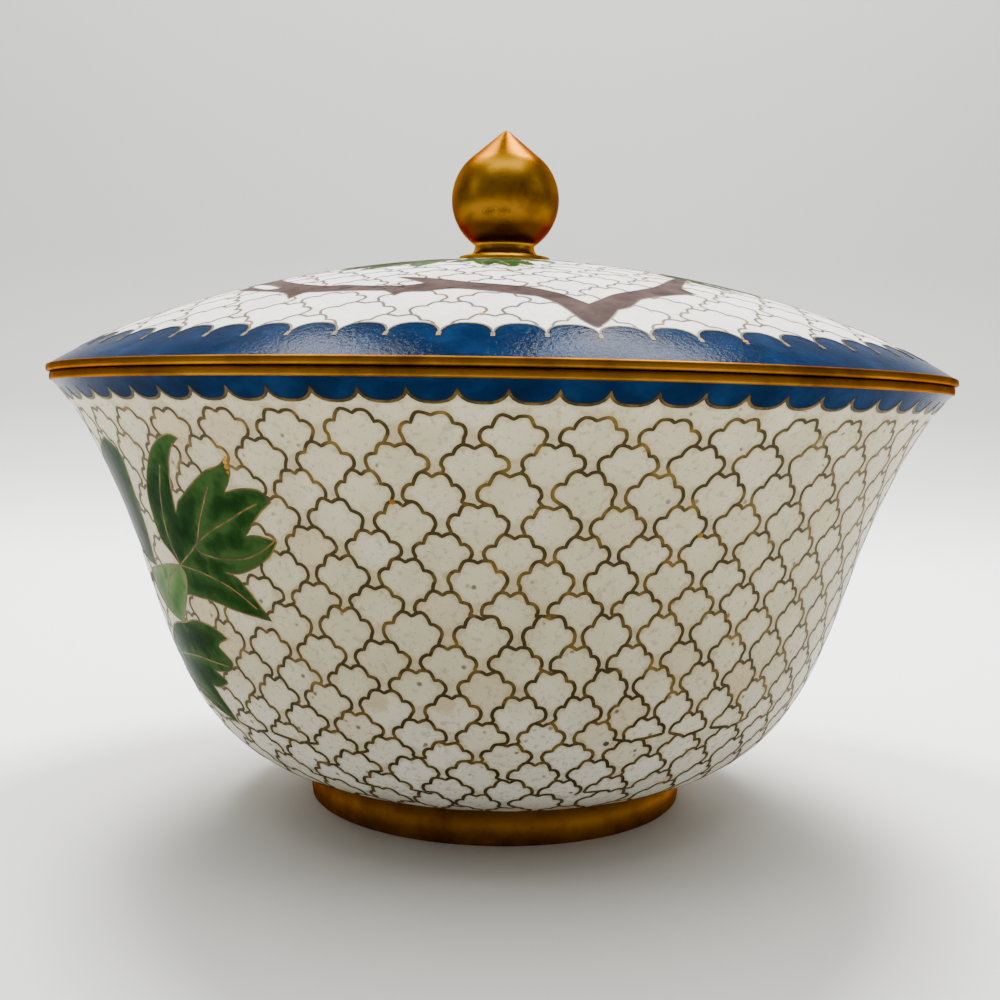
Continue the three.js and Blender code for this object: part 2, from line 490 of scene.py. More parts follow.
def split(drawing):
    """Cuts the drawing along its wires: its points, triangles, each triangle's patch, how many patches."""
    skin = drawing.skin
    points, edges = [], []

    def add_line(line):
        first = len(points)
        points.extend(Vector((float(x), float(y))) for x, y in line)
        edges.extend((first + i, first + i + 1) for i in range(len(line) - 1))

    rng = random.Random(5)
    for shift in TURNS:
        for _, wire in drawing.wires:
            if in_view(wire + (shift, 0)):
                add_line(wire + (shift, 0))
    across = np.linspace(-HALF_TURN, HALF_TURN, RING_POINTS + 1)
    down = np.linspace(0, skin.length, round(skin.length / GRID_STEP) + 1)
    for s in (0, skin.length):
        add_line([(u, s) for u in across])
    for u in (-HALF_TURN, HALF_TURN):
        add_line([(u, s) for s in down])
    for s in down[1:-1]:
        count = max(FEWEST_IN_RING, round(2 * math.pi * float(skin.radius(s)) / GRID_STEP))
        start = rng.random()
        for i in range(count):
            u = -HALF_TURN + (i + start) * FULL_TURN / count
            points.append(Vector((u, s + rng.uniform(-GRID_SHAKE, GRID_SHAKE))))
    result = delaunay_2d_cdt(points, edges, [], 0, 1e-5, True)
    flat = np.array([tuple(v) for v in result[0]])
    fixed = {tuple(sorted(edge)) for edge, sources in zip(result[1], result[4]) if sources}
    faces = np.array(result[2])
    middle = flat[faces].mean(1)
    kept = (abs(middle[:, 0]) < HALF_TURN) & (middle[:, 1] > 0) & (middle[:, 1] < skin.length)
    faces = faces[kept]

    # Flood each patch across the edges that no wire follows
    beside = {}
    for index, (a, b, c) in enumerate(faces.tolist()):
        for pair in ((a, b), (b, c), (c, a)):
            pair = tuple(sorted(pair))
            if pair not in fixed:
                beside.setdefault(pair, []).append(index)
    links = [[] for _ in faces]
    for pair in beside.values():
        if len(pair) == 2:
            links[pair[0]].append(pair[1])
            links[pair[1]].append(pair[0])
    patch = np.full(len(faces), -1)
    patches = 0
    for start in range(len(faces)):
        stack = [start] if patch[start] < 0 else []
        patches += len(stack)
        while stack:
            face = stack.pop()
            if patch[face] < 0:
                patch[face] = patches - 1
                stack.extend(links[face])

    # Close the seam at the back, where both edges have the same heights
    seam = {round(flat[i, 1], 3): i for i in np.flatnonzero(abs(flat[:, 0] + HALF_TURN) < 1e-4)}
    twin = np.arange(len(flat))
    for i in np.flatnonzero(abs(flat[:, 0] - HALF_TURN) < 1e-4):
        twin[i] = seam.get(round(flat[i, 1], 3), i)
    faces = twin[faces]
    whole = (faces[:, 0] != faces[:, 1]) & (faces[:, 1] != faces[:, 2]) & (faces[:, 2] != faces[:, 0])
    return flat, faces[whole], patch[whole], patches


# Meshes
def new_piece(name, points, faces, materials, slot, node=None, smooth_shaded=True):
    mesh = bpy.data.meshes.new(name)
    mesh.from_pydata((np.asarray(points) * MM).tolist(), [], [list(map(int, face)) for face in faces])
    for material in materials:
        mesh.materials.append(material)
    if smooth_shaded:
        mesh.shade_smooth()
    piece = new_object(name, mesh)
    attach(piece, "root")
    if node:
        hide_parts(node)
    return piece


def spin(profile, count, closed):
    """Points and faces of a turned profile, which may be closed, start or end on the axis, or stay open."""
    points, rings, faces = [], [], []
    turn = np.arange(count) * math.tau / count
    for radius, height in profile:
        ring = around(radius, turn, np.full(count, height)) if radius > 1e-6 else [(0, 0, height)]
        rings.append(range(len(points), len(points) + len(ring)))
        points.extend(ring)
    for low, high in zip(rings, rings[1:] + rings[:closed]):
        for i in range(count):
            j = (i + 1) % count
            corners = low[i % len(low)], low[j % len(low)], high[j % len(high)], high[i % len(high)]
            corners = list(dict.fromkeys(corners))
            if len(corners) > 2:
                faces.append(corners)
    return np.array(points), faces


def face_normals(points, faces):
    """The triangles' normals, each as long as twice the area."""
    a, b, c = (points[faces[:, i]] for i in range(3))
    return np.cross(b - a, c - a)


def shell(name, drawing, plain_profiles, materials, node):
    """A decorated skin and its plain sides as one piece."""
    flat, faces, patch, patches = split(drawing)
    skin = drawing.skin
    points, normals = skin.place(flat)
    kinds = np.maximum(kinds_at(flat[faces].mean(1), drawing.regions), GROUND)

    # Each patch takes the kind of its largest triangle, so that slivers along wires follow it
    order = np.argsort(np.linalg.norm(face_normals(points, faces), axis=1))
    chosen = np.zeros(patches, int)
    chosen[patch[order]] = kinds[order]

    spots = np.vstack([skin.place(wire)[0] for _, wire in drawing.wires])
    near = kdtree.KDTree(len(spots))
    for index, spot in enumerate(spots):
        near.insert(spot, index)
    near.balance()
    away = np.array([near.find(p)[2] for p in points])
    dip = CELL_DIP * (1 - np.exp(-(away / CELL_DIP_REACH) ** 2))
    points = points - normals * dip[:, None]

    # The drawing of a line that runs up comes out inside out, so its triangles are turned over
    facing = np.einsum("ij,ij->i", face_normals(points, faces), normals[faces[:, 0]])
    faces = np.where((facing < 0)[:, None], faces[:, ::-1], faces)

    back_points, back_faces = [], []
    for profile in plain_profiles:
        ring_points, ring_faces = spin(profile, RING_POINTS // 2, False)
        back_faces.extend([i + len(back_points) for i in face] for face in ring_faces)
        back_points.extend(ring_points)
    used = np.unique(faces)
    renumber = np.full(len(points), -1)
    renumber[used] = np.arange(len(used))
    all_points = np.vstack((points[used], back_points))
    all_faces = renumber[faces].tolist() + [[i + len(used) for i in face] for face in back_faces]
    piece = new_piece(name, all_points, all_faces, materials, "enamel", node)
    mesh = piece.data
    kind_list = np.r_[chosen[patch], np.full(len(back_faces), PLAIN)]
    mesh.polygons.foreach_set("material_index", kind_list.astype(np.int32))

    # What the glass reads: each cell's own tone and warmth, and each point's distance from the nearest wire
    rng = np.random.default_rng(11)
    tone = rng.random(patches)
    warm = rng.random(patches)
    per_face = np.vstack((np.c_[tone[patch], warm[patch], np.zeros(len(patch)), np.ones(len(patch))],
                          np.tile((0.5, 0.5, 0.0, 1.0), (len(back_faces), 1))))
    per_corner = np.repeat(per_face, [len(face) for face in all_faces], axis=0)
    cell = mesh.color_attributes.new("cell", "FLOAT_COLOR", "CORNER")
    cell.data.foreach_set("color", per_corner.astype(np.float32).ravel())
    away = np.r_[away[used], np.full(len(back_points), AWAY_FROM_WIRES)]
    edge = mesh.attributes.new("edge", "FLOAT", "POINT")
    edge.data.foreach_set("value", away.astype(np.float32))
    given = np.vstack((normals[used], np.zeros((len(back_points), 3))))
    mesh.normals_split_custom_set_from_vertices(given.tolist())


def ribbons(name, skin, wires, blobs, materials, looks):
    """Flat-topped wires let into the surface, standing a little proud of it.

    blobs: beads of solder, as place in the drawing and radius; looks: each kind's width and metal.
    """
    points, faces, metals = [], [], []

    def add(new_points, new_faces, metal):
        faces.extend([len(points) + i for i in face] for face in new_faces)
        points.extend(new_points)
        metals.extend([metal] * len(new_faces))

    for kind, wire in wires:
        if len(wire) < 2:
            continue
        width, metal = looks[kind]
        ring = len(wire) > 3 and np.hypot(*(wire[0] - wire[-1])) < 1e-6
        spots, normals = skin.place(wire[:-1] if ring else wire)
        along = (np.roll(spots, -1, 0) - np.roll(spots, 1, 0)) if ring else np.gradient(spots, axis=0)
        across = np.cross(normals, unit(along))
        half = width / 2
        flat = WIRE_FLAT_SHARE * half
        section = ((-half, -WIRE_DEPTH), (-flat, WIRE_PROUD), (flat, WIRE_PROUD), (half, -WIRE_DEPTH))
        count = len(spots)
        sides = []
        for i in range(count if ring else count - 1):
            j = (i + 1) % count
            for k in range(4):
                m = (k + 1) % 4
                sides.append((k * count + i, k * count + j, m * count + j, m * count + i))
        if not ring:
            sides.append([k * count for k in range(4)])
            sides.append([k * count + count - 1 for k in (3, 2, 1, 0)])
        add(np.vstack([spots + across * reach + normals * rise for reach, rise in section]), sides, metal)
    for centre, size in blobs:
        spots, normals = skin.place(np.array([centre]))
        normal = Vector(normals[0])
        side = normal.orthogonal().normalized()
        across = normal.cross(side)
        bead = []
        for lift, spread in BLOB_LEVELS:
            for i in range(BLOB_SIDES):
                turn = i * math.tau / BLOB_SIDES
                out = np.array(side * math.cos(turn) + across * math.sin(turn))
                bead.append(spots[0] + out * spread * size + normals[0] * lift)
        sides = []
        for low in (0, BLOB_SIDES):
            high = low + BLOB_SIDES
            for i in range(BLOB_SIDES):
                j = (i + 1) % BLOB_SIDES
                sides.append((low + i, low + j, high + j, high + i))
        sides.append(range(BLOB_SIDES - 1, -1, -1))
        sides.append(range(high, high + BLOB_SIDES))
        add(bead, sides, BLOB_METAL)
    piece = new_piece(name, points, faces, materials, "gilt_brass", smooth_shaded=False)
    piece.data.polygons.foreach_set("material_index", np.array(metals, np.int32))


# Materials; colours are linear, and noise scales are per metre
class Nodes:
    """One material's nodes, which its methods add to and link."""

    def __init__(self, name):
        self.material = bpy.data.materials.new(name)
        self.material.use_nodes = True
        self.tree = self.material.node_tree
        self.shader = self.tree.nodes["Principled BSDF"]

    def feed(self, socket, value):
        """Links a socket to another's value, or sets its own."""
        if isinstance(value, bpy.types.NodeSocket):
            self.tree.links.new(value, socket)
        elif socket.type == "RGBA" and len(value) == 3:
            socket.default_value = (*value, 1)
        else:
            socket.default_value = value

    def add(self, kind, *values, settings=(), **inputs):
        """A new node; values go to its first sockets, and inputs to those they name."""
        node = self.tree.nodes.new("ShaderNode" + kind)
        for key, value in dict(settings).items():
            setattr(node, key, value)
        for socket, value in zip(node.inputs, values):
            self.feed(socket, value)
        for key, value in inputs.items():
            self.feed(node.inputs[key.replace("_", " ")], value)
        return node

    def place(self):
        return self.add("TexCoord").outputs["Object"]

    def height(self):
        return self.add("SeparateXYZ", self.place()).outputs["Z"]

    def attribute(self, name, output="Fac"):
        return self.add("Attribute", settings={"attribute_name": name}).outputs[output]

    def noise(self, scale, detail=3.0, roughness=0.55, stretch=None):
        where = self.place()
        if stretch:
            where = self.add("Mapping", where, Scale=stretch).outputs[0]
        node = self.add("TexNoise", Vector=where, Scale=scale, Detail=detail, Roughness=roughness)
        return node.outputs["Fac"]

    def mask(self, value, none, full):
        """0 where the value is at one bound or beyond it, and 1 at the other."""
        return self.add("MapRange", value, none, full).outputs["Result"]

    def dots(self, scale, none, full):
        """Round dots, one to each cell of a random pattern."""
        node = self.add("TexVoronoi", Vector=self.place(), Scale=scale)
        return self.mask(node.outputs["Distance"], none, full)

    def math(self, operation, first, second):
        return self.add("Math", first, second, settings={"operation": operation}).outputs[0]

    def times(self, first, second):
        return self.math("MULTIPLY", first, second)

    def ramp(self, value, *stops):
        node = self.add("ValToRGB", value)
        elements = node.color_ramp.elements
        while len(elements) < len(stops):
            elements.new(0.5)
        for element, (position, colour) in zip(elements, stops):
            element.position = position
            element.color = (*colour, 1)
        return node.outputs["Color"]

    def mix(self, share, first, second):
        """The first colour, and as much of the second as the share says."""
        return self.add("Mix", share, settings={"data_type": "RGBA"}, A=first, B=second).outputs[2]

    def tint(self, colour, mask, most, shade):
        """The colour mixed with a shade where the mask says, and by how much at most."""
        return self.mix(self.times(mask, most), colour, shade)

    def finish(self, colour, roughness, specular, bump=(), **inputs):
        """The finished material; bump: a height, how many millimetres it stands for, and its strength."""
        if bump:
            node = self.add("Bump", Height=bump[0], Distance=bump[1] * MM, Strength=bump[2])
            inputs["Normal"] = node.outputs["Normal"]
        inputs.update(Base_Color=colour, Roughness=roughness, Specular_IOR_Level=specular)
        for key, value in inputs.items():
            self.feed(self.shader.inputs[key.replace("_", " ")], value)
        return self.material


# Heights in millimetres between which the bowl's white is painted lighter towards the foot: painted bounce
# light from the floor
PAINTED_BOUNCE_FROM = 26
PAINTED_BOUNCE_BELOW = 8


def white_enamel(name, clouds, dirt, skin, stains, painted_bounce_light=None):
    """White glass, a little different from cell to cell and darker beside the wires, with pits and dirt.

    clouds: its colours; dirt: how dirty it is; stains: those seen, as pixel, size and colour;
    the last, if given: a lighter colour mixed in near the foot, as painted bounce light from the floor.
    """
    n = Nodes(name)
    cell = n.add("SeparateColor", n.attribute("cell", "Color"))
    tone, warm = cell.outputs["Red"], cell.outputs["Green"]
    colour = n.ramp(n.noise(160, 4), *zip((0.3, 0.5, 0.72), clouds))
    # Painted bounce light: a lighter colour mixed in more and more towards the foot
    if painted_bounce_light:
        colour = n.tint(colour, n.mask(n.height(), PAINTED_BOUNCE_FROM * MM, PAINTED_BOUNCE_BELOW * MM), 0.85, painted_bounce_light)
    colour = n.tint(colour, n.mask(tone, 0, 1), 0.4 * dirt, (0.50, 0.44, 0.28))
    colour = n.tint(colour, n.mask(warm, 0.85, 1.0), 0.5 * dirt, (0.46, 0.34, 0.18))
    colour = n.tint(colour, n.mask(n.noise(1500, 2), 0.54, 0.70), 0.5 * dirt, (0.24, 0.20, 0.12))
    dotted = n.times(n.dots(2400, 0.24, 0.14), n.mask(n.noise(230, 3), 0.44, 0.6))
    colour = n.tint(colour, dotted, 0.6 * dirt, (0.16, 0.14, 0.10))
    pit = n.times(n.dots(620, 0.24, 0.12), n.mask(n.noise(420, 1), 0.58, 0.64))
    colour = n.tint(colour, pit, 0.85 * dirt, (0.08, 0.065, 0.04))
    colour = n.tint(colour, n.mask(n.attribute("edge"), 0.6, 0.2), 0.45 * dirt, (0.30, 0.22, 0.09))
    for pixel, size, shade in stains:
        middle = skin.place(skin.from_photo([pixel]))[0][0] * MM
        away = n.add("VectorMath", n.place(), middle, settings={"operation": "DISTANCE"})
        ragged = n.math("ADD", away.outputs["Value"], n.times(n.noise(1400, 3), size * MM))
        colour = n.mix(n.mask(ragged, 1.6 * size * MM, 1.2 * size * MM), colour, shade)
    relief = n.math("SUBTRACT", n.times(n.noise(260, 3), 0.5), pit)
    return n.finish(colour, 0.32, 0.02, (relief, 0.05, 0.5))


def blue_enamel():
    n = Nodes("blue_enamel")
    colour = n.ramp(n.noise(240, 5), (0.3, (0.0014, 0.0085, 0.027)), (0.5, (0.002, 0.0125, 0.042)),
                    (0.75, (0.005, 0.026, 0.075)))
    colour = n.tint(colour, n.mask(n.attribute("edge"), 0.5, 0.2), 0.5, (0.012, 0.012, 0.010))
    return n.finish(colour, 0.14, 0.004, (n.noise(1900, 3), 0.05, 0.8))


def leaf_enamel(name, light, middle, dark):
    """Green glass, light beside the wires and darker away from them."""
    n = Nodes(name)
    cloud = n.times(n.math("SUBTRACT", n.noise(150, 4, 0.6), 0.5), 2.2)
    depth = n.math("ADD", n.mask(n.attribute("edge"), 0.1, 2.6), cloud)
    colour = n.ramp(depth, (0.0, light), (0.4, middle), (0.9, dark))
    colour = n.tint(colour, n.mask(n.noise(420, 2), 0.56, 0.70), 0.6, dark)
    return n.finish(colour, 0.28, 0.002, (n.noise(400, 3), 0.04, 0.5))


def pitted_enamel(name, scale, clouds, pits, shade, roughness, specular, relief):
    """Cloudy glass with dark pits.

    clouds: its ramp of colours, on a noise of a scale; pits: their noise's scale, and the values at which
    they begin and are whole.
    """
    n = Nodes(name)
    colour = n.ramp(n.noise(scale, 4), *clouds)
    colour = n.tint(colour, n.mask(n.noise(pits[0], 2), *pits[1:]), 0.7, shade)
    return n.finish(colour, roughness, specular, (n.noise(relief, 3), 0.05, 0.5))


def wire_metal(name, dark, bright, low, high):
    n = Nodes(name)
    colour = n.mix(n.mask(n.noise(420, 4, 0.6), low, high), dark, bright)
    return n.finish(colour, 0.5, 0.05, (n.noise(1800, 2), 0.02, 0.4), Metallic=0.2)


def brass(name, colours, clouds, roughness, scratch, tarnish=None, painted_top_shade=None):
    """Worn brass, bright, middling or dark.

    clouds: their noise's scale, and the values at which it is dark and bright;
    tarnish: a colour, the height where it starts, and those between which it fades out upwards;
    the last, if given: a darker colour over the top, as painted shade that dims the lamps' reflection
    there, and the heights between which it fades in upwards.
    """
    n = Nodes(name)
    bright, middle, dark = colours
    scale, low, high = clouds
    cloud = n.noise(scale, 5, 0.6)
    colour = n.mix(n.mask(cloud, low, high), dark, bright)
    colour = n.tint(colour, n.mask(n.noise(scale * 4, 3), 0.5, 0.75), 0.5, middle)
    height = n.height()
    if painted_top_shade:
        # Painted shade: the top darkened upwards, to dim the lamps' reflection on it
        top_shade_colour, none, full = painted_top_shade
        colour = n.mix(n.mask(height, none * MM, full * MM), colour, top_shade_colour)
    if tarnish:
        stain, start, full, none = tarnish
        wavy = n.math("ADD", height, n.times(n.noise(scale, 2), 1.5 * MM))
        above = n.mask(height, start * MM, (start + 0.6) * MM)
        colour = n.mix(n.times(n.mask(wavy, none * MM, full * MM), above), colour, stain)
    rough = n.math("ADD", n.times(n.mask(cloud, high + 0.1, low - 0.1), 0.2), roughness)
    return n.finish(colour, rough, 0.5, (n.noise(900, 2, 0.5, (1, 1, 8)), scratch, 0.4), Metallic=1.0,
                    Specular_Tint=(0.55, 0.36, 0.13))


BOWL = Skin(BOWL_LINE[::-1], -1)
LID = Skin(DOME_LINE, 1)

# The bowl's rows in the photograph, in pixels: the height of the front notch, and notches seen across
BOWL_ROWS_SEEN = (
    (418, 431, 514), (448, 391, 475), (476.5, 433), (509, 475, 552), (539, 514), (566, 474, 548),
    (595, 510), (620, 477, 550), (649, 515), (675, 476, 552), (700, 514, 581), (725, 478, 543),
    (746, 510, 569), (764, 473, 535), (782, 511, 563), (797, 483, 538), (808, 510))
FRONT_X = 505
BOWL_TOP_COUNT = 45
BOWL_MERGES = (
    (), (-100,), (130,), (), (-75,), (), (-140,), (), (110,), (-90,), (150,), (22, -120), (-65,), (100,),
    (-24, 160), (65, -100), (140, -45), (90, -150))
ROW_DEPTH_BELOW = 3.55
LEAST_DEPTH_BELOW = 0.5
BOWL_BORDER_NOTCH = (509, 388)

# Stains seen: the pixel, the size and the colour
BOWL_STAINS = (
    ((606, 744), 0.42, (0.05, 0.05, 0.045)),
    ((635, 751), 0.28, (0.14, 0.14, 0.13)),
    ((728, 616), 0.34, (0.26, 0.10, 0.03)),
    ((701, 518), 0.30, (0.25, 0.24, 0.22)),
    ((668, 502), 0.30, (0.20, 0.19, 0.17)),
    ((745, 502), 0.28, (0.18, 0.17, 0.15)),
    ((374, 701), 1.7, (0.44, 0.37, 0.23)),
    ((443, 703), 1.6, (0.45, 0.37, 0.23)))

# Beads of solder seen at the leaf's tip
BLOBS_SEEN = ((225.5, 458), (225.5, 462), (226.5, 467), (228, 472))
BLOB_SIZES = (0.26, 0.36, 0.34, 0.24)
LID_BORDER_NOTCH = (493, 333)
LID_STAINS = (
    ((516, 268), 2.6, (0.66, 0.56, 0.46)),
    ((560, 266), 1.8, (0.72, 0.64, 0.55)))

# One maple leaf as strokes between its tips and notches, round from its base to its base again. Each stroke
# starts where the one before it ends, and the first starts where the last one ends
LEAF_STROKES = (
    ((172, 553), (161, 538), (153, 515), (148, 495), (147, 473), (150, 452), (157.5, 439),
     (168, 434), (177.5, 438)),
    ((171.5, 446), (169, 461), (170.6, 486), (176, 512)),
    ((178, 502), (183, 495), (194, 481), (206.5, 470), (218, 466), (225.6, 457)),
    ((229, 466), (229.5, 476.5), (225, 492)),
    ((240, 489), (257, 490), (265, 496), (271, 502)),
    ((260, 513), (252, 525.5), (246, 536)),
    ((257, 536), (268, 538.5), (277, 542)),
    ((271, 555), (260, 565), (246, 572), (236, 574), (225, 572)),
    ((237, 577.5), (249, 591), (262, 608), (272, 621)),
    ((257, 617), (237, 611), (216, 602), (196, 596), (187, 594)),
    ((187, 581), (184, 572), (180.5, 565)))
LEAF_VEINS = (
    ((180.5, 565), (196, 545), (199, 525), (205, 498), (208, 487)),
    ((196, 545), (210, 532), (228, 521), (243, 511), (257, 504)),
    ((196, 545), (202, 553), (222, 559), (245, 559), (262, 551.5), (274, 542)),
    ((180.5, 565), (190, 568), (203, 573), (225, 584), (242, 596), (257, 609)),
    ((180.5, 565), (168, 535), (161, 500), (160, 465)))
BUD_STROKES = (
    ((166, 564), (180.5, 565)),
    ((186, 575), (187.5, 590), (186, 606), (184, 622)),
    ((172, 612), (161, 595), (155, 580), (152, 568)))
BUD_VEINS = (
    ((180.5, 565), (171, 574), (168, 588), (171, 606)),)
LOWER_LEAF_START = (186, 622)
LOWER_LEAF_STROKES = (
    ((195.5, 620), (210, 625.5), (220, 632), (228, 639)),
    ((220, 643), (219, 647)),
    ((227, 656), (233, 663), (233, 669)),
    ((226, 672), (215, 670)),
    ((222, 676), (228, 683), (220, 687), (214, 685)),
    ((222, 698), (232, 712), (240, 724)))
SIDE_LEAF_EDGE = ((104, 436), (118, 450), (127, 470), (137, 500), (147, 530), (154, 556), (158, 566))
LOWER_LEAF_VEINS = (
    ((178, 650), (195, 655), (212, 661), (230, 667)),
    ((186, 668), (205, 690), (222, 706)))

# The lid's branch, and the gap between its two stems on the left
LID_BRANCH_START = (236, 285)
LID_BRANCH_STROKES = (
    ((262, 281), (280, 279.5), (300, 284), (330, 286), (342, 285), (378, 286), (405, 285.5), (425, 283)),
    ((412, 280), (398, 277)),
    ((420, 277.5), (446, 279.5), (469, 282), (520, 286), (540, 289), (562, 294), (578, 300), (589, 304)),
    ((602, 299), (616, 294), (640, 290), (655, 287), (671, 280), (680, 277)),
    ((684, 284), (682, 289)),
    ((689, 292), (696, 294.6)),
    ((684, 295), (671, 295.5), (651, 298), (640, 300), (631, 307), (618, 310)),
    ((612, 318), (601, 327)),
    ((595, 327), (580, 319), (562, 306), (540, 297), (520, 294.5), (469, 289), (446, 289), (425, 291.5)),
    ((405, 292), (394, 295.5)),
    ((388, 291.5), (378, 290.5), (342, 291), (320, 292)),
    ((304, 293), (289, 299)),
    ((284, 293), (262, 291.5), (236, 291)))
LID_GAP_STROKES = (
    ((262, 285), (272, 285.5), (282, 288)),
    ((272, 289.5), (262, 289.5), (252, 287)))

# Copies of the leaf: its place in the drawing, its turn in degrees, its size, and whether it is mirrored
BOWL_LEAF_COPIES = (
    ((-80, 24), -62, 0.9, False),
    ((-93, 44), 145, 0.9, True),
    ((-107, 22), -128, 0.95, False),
    ((-130, 41), 160, 0.85, True),
    ((-143, 18), 170, 0.8, False))
LID_LEAF_COPIES = (
    ((-18, 44), -105, 0.68, False),
    ((-6, 45.5), -95, 0.58, True),
    ((39, 36), -25, 0.6, False),
    ((-60, 31), 175, 0.75, True),
    ((-73, 36), 120, 0.6, False),
    ((108, 19), 60, 0.8, False),
    ((128, 24), -75, 0.75, True),
    ((152, 20), 10, 0.8, True))

# Branches in the drawings, and their widths from end to end
BOWL_BRANCHES = (
    (((-52, 27.2), (-62, 29), (-76, 25), (-92, 29), (-110, 22), (-128, 26), (-143, 18)),
     (0.9, 1.6, 2.2, 2.6, 2.2, 1.6, 0.5)),
    (((-76, 25.5), (-80, 36), (-90, 45)), (1.6, 1.2, 0.5)),
    (((-108, 22.5), (-116, 33), (-128, 41)), (1.6, 1.2, 0.5)))
LID_BRANCHES = (
    (((-49, 28), (-60, 31), (-73, 36), (-84, 38)), (4.0, 2.6, 1.6, 0.6)),
    (((92, 12), (104, 18), (118, 22), (135, 24), (152, 20)), (0.7, 2.0, 2.6, 2.0, 1.0)))


def through(place, strokes, start=None):
    """A line through strokes that meet in sharp corners; it starts at its end if no start is given."""
    starts = [start or strokes[-1][-1]] + [stroke[-1] for stroke in strokes[:-1]]
    return joined(*(smooth(place((start, *stroke))) for start, stroke in zip(starts, strokes)))


def copied(skin, at, turn, size, mirror):
    """Lays shapes seen on the bowl in the photograph elsewhere: turned, resized, and mirrored or not."""
    origin = BOWL.from_photo([LEAF_STROKES[-1][-1]])[0]
    cosine, sine = math.cos(math.radians(turn)), math.sin(math.radians(turn))
    matrix = np.array(((cosine, -sine), (sine, cosine))) * size
    if mirror:
        matrix = matrix @ np.diag((1, -1))

    def place(pixels):
        drawn = BOWL.from_photo(pixels)
        widths = BOWL.radius(drawn[:, 1]) / UNROLL_RADIUS
        flat = np.c_[(drawn[:, 0] - origin[0]) * widths, drawn[:, 1] - origin[1]] @ matrix.T
        s = at[1] + flat[:, 1]
        return np.c_[at[0] + flat[:, 0] * UNROLL_RADIUS / skin.radius(s), s]

    return place


def lay_veins(drawing, place, kind, veins):
    for vein in veins:
        drawing.lay_over(kind, smooth(place(vein)))


def lay_leaf(drawing, place, kind=LEAF, strokes=LEAF_STROKES, veins=LEAF_VEINS):
    """A leaf, or another shape made of strokes, with its veins."""
    drawing.region(kind, through(place, strokes)[:-1])
    lay_veins(drawing, place, kind, veins)


def tapered(line, widths, skin):
    """The outline of a branch that follows a line of the drawing, in which widths are true widths."""
    line = smooth(line, 4)
    widths = np.interp(np.linspace(0, 1, len(line)), np.linspace(0, 1, len(widths)), widths)
    stretch = UNROLL_RADIUS / skin.radius(line[:, 1])
    true = np.c_[line[:, 0] / stretch, line[:, 1]]
    along = unit(np.gradient(true, axis=0))
    across = np.c_[-along[:, 1] * stretch, along[:, 0]] * widths[:, None] / 2
    return np.vstack((line + across, (line - across)[::-1]))


def build_bowl_drawing():
    drawing = Drawing(BOWL)
    first = BOWL.from_photo([BOWL_BORDER_NOTCH])[0]
    lay_border(drawing, BOWL_BORDER, first[0])
    for branch, widths in BOWL_BRANCHES:
        drawing.region(BRANCH, tapered(branch, widths, BOWL))
    near = smooth(BOWL.from_photo(SIDE_LEAF_EDGE))
    start, end = near[0], near[-1]
    far = smooth([end, end + (-6, -1), end + (-13, -7), start + (-8, 3), start])
    drawing.region(LEAF, joined(near, far)[:-1])
    for leaf in BOWL_LEAF_COPIES:
        lay_leaf(drawing, copied(BOWL, *leaf))
    lay_leaf(drawing, BOWL.from_photo)
    drawing.blobs.extend(zip(BOWL.from_photo(BLOBS_SEEN), BLOB_SIZES))
    lay_leaf(drawing, BOWL.from_photo, BUD, BUD_STROKES, BUD_VEINS)
    near = through(BOWL.from_photo, LOWER_LEAF_STROKES, LOWER_LEAF_START)
    start, end = near[0], near[-1]
    far = smooth([end, end + (-10, -2.5), end + (-21, -5.5), start + (-13, 5.5), start + (-6, 1.2), start])
    drawing.region(LEAF, joined(near, far)[:-1])
    lay_veins(drawing, BOWL.from_photo, LEAF, LOWER_LEAF_VEINS)

    seen = []
    for y, *notches in BOWL_ROWS_SEEN:
        spots = BOWL.from_photo([(FRONT_X, y)] + [(x, y) for x in notches])
        seen.append((spots[0, 1], spots[1:, 0]))
    while seen[-1][0] + ROW_DEPTH_BELOW < BOWL.length - LEAST_DEPTH_BELOW:
        seen.append((seen[-1][0] + ROW_DEPTH_BELOW, ()))
    first = seen[0][1][-1]
    places = first + np.arange(BOWL_TOP_COUNT) * FULL_TURN / BOWL_TOP_COUNT
    rows = [(seen[0][0], places)]
    for (s, notches), merges in zip(seen[1:], BOWL_MERGES):
        places = next_row(places, merges)
        for notch in notches:
            places = pulled(places, notch)
        rows.append((s, places))
    lay_scales(drawing, rows, (), random.Random(3))
    return drawing


# The lid's rows, from the border to the knob: their places in the drawing, and how many scales each has
LID_ROWS = (9.2, 13.3, 17.0, 20.4, 23.5, 26.4, 29.2, 31.9, 34.6, 37.6, 40.8, 44.2, 47.6, 51.0, 54.4)
LID_COUNTS = (34, 34, 34, 34, 34, 34, 34, 30, 28, 24, 21, 18, 15, 12, 9)
MERGE_SHIFT = 0.37
LANDING_LIFT = 0.15


